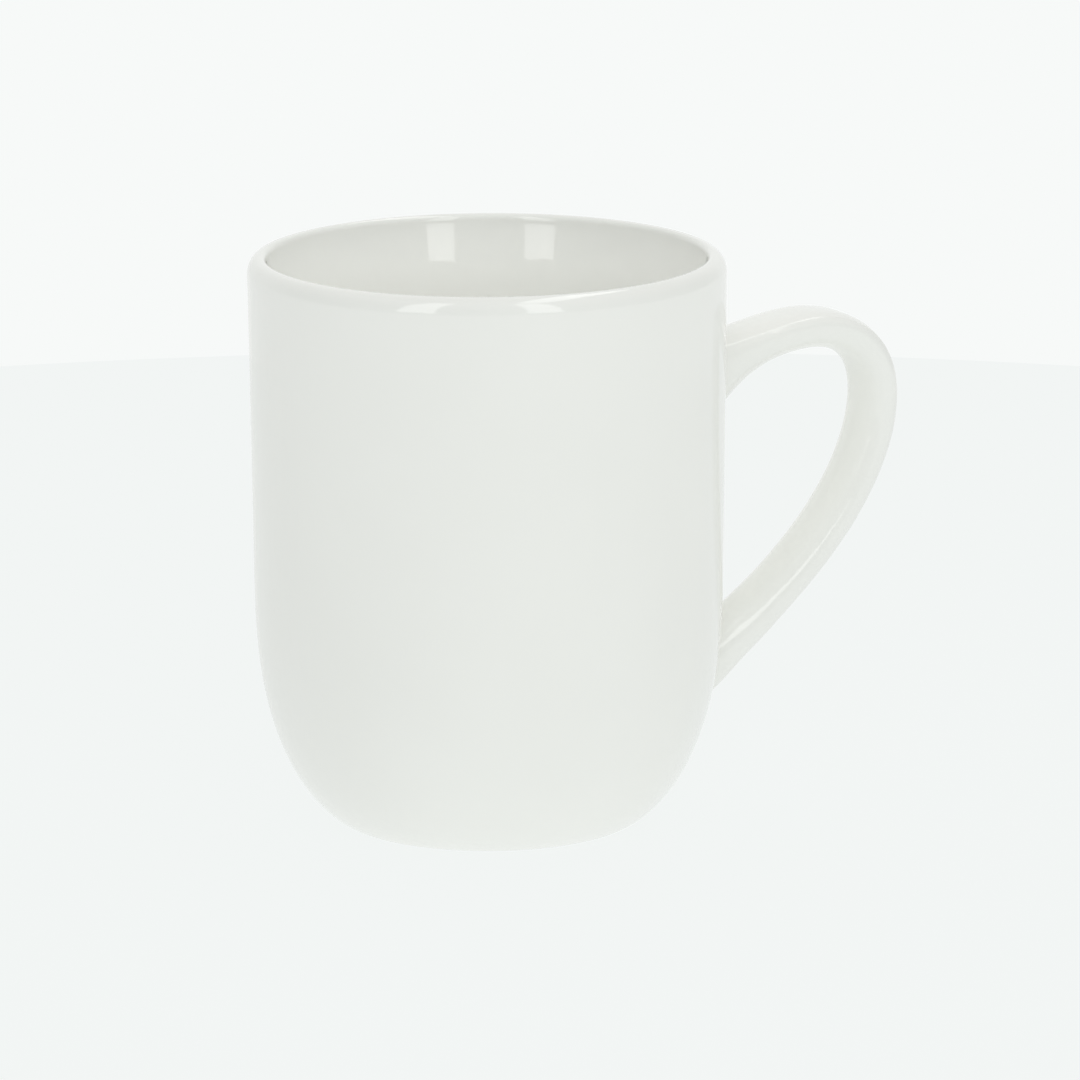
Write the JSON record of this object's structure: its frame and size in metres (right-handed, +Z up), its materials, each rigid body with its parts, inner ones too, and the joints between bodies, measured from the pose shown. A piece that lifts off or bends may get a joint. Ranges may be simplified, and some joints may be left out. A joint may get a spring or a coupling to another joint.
{
  "type": "mug",
  "caption": "Tall glazed ceramic mug with straight sides, a rounded bottom, a thin round lip and a teardrop strap handle luted to the wall.",
  "frame": {"origin": "on the cup's axis, in the plane that the foot ring stands on; the middle of the recess under the foot is 0.8 mm above it, within the frame check's tolerance", "axes": "+Z up along the cup's axis, +X towards the handle, Y = 0 the mirror plane"},
  "size_m": [0.1182, 0.083, 0.1],
  "materials": {
    "white_glaze": "glossy transparent glaze over a warm white fired body",
    "glazed_slip": "glossy glaze pooled over joining slip, slightly creamier than the wall",
    "bare_clay": "unglazed fired clay, wiped clean on the ring that the mug stands on"
  },
  "bodies": {
    "root": {"cup_body": "white_glaze", "handle": "white_glaze", "upper_luting_slip": "glazed_slip", "lower_luting_slip": "glazed_slip"}
  },
  "joints": []
}
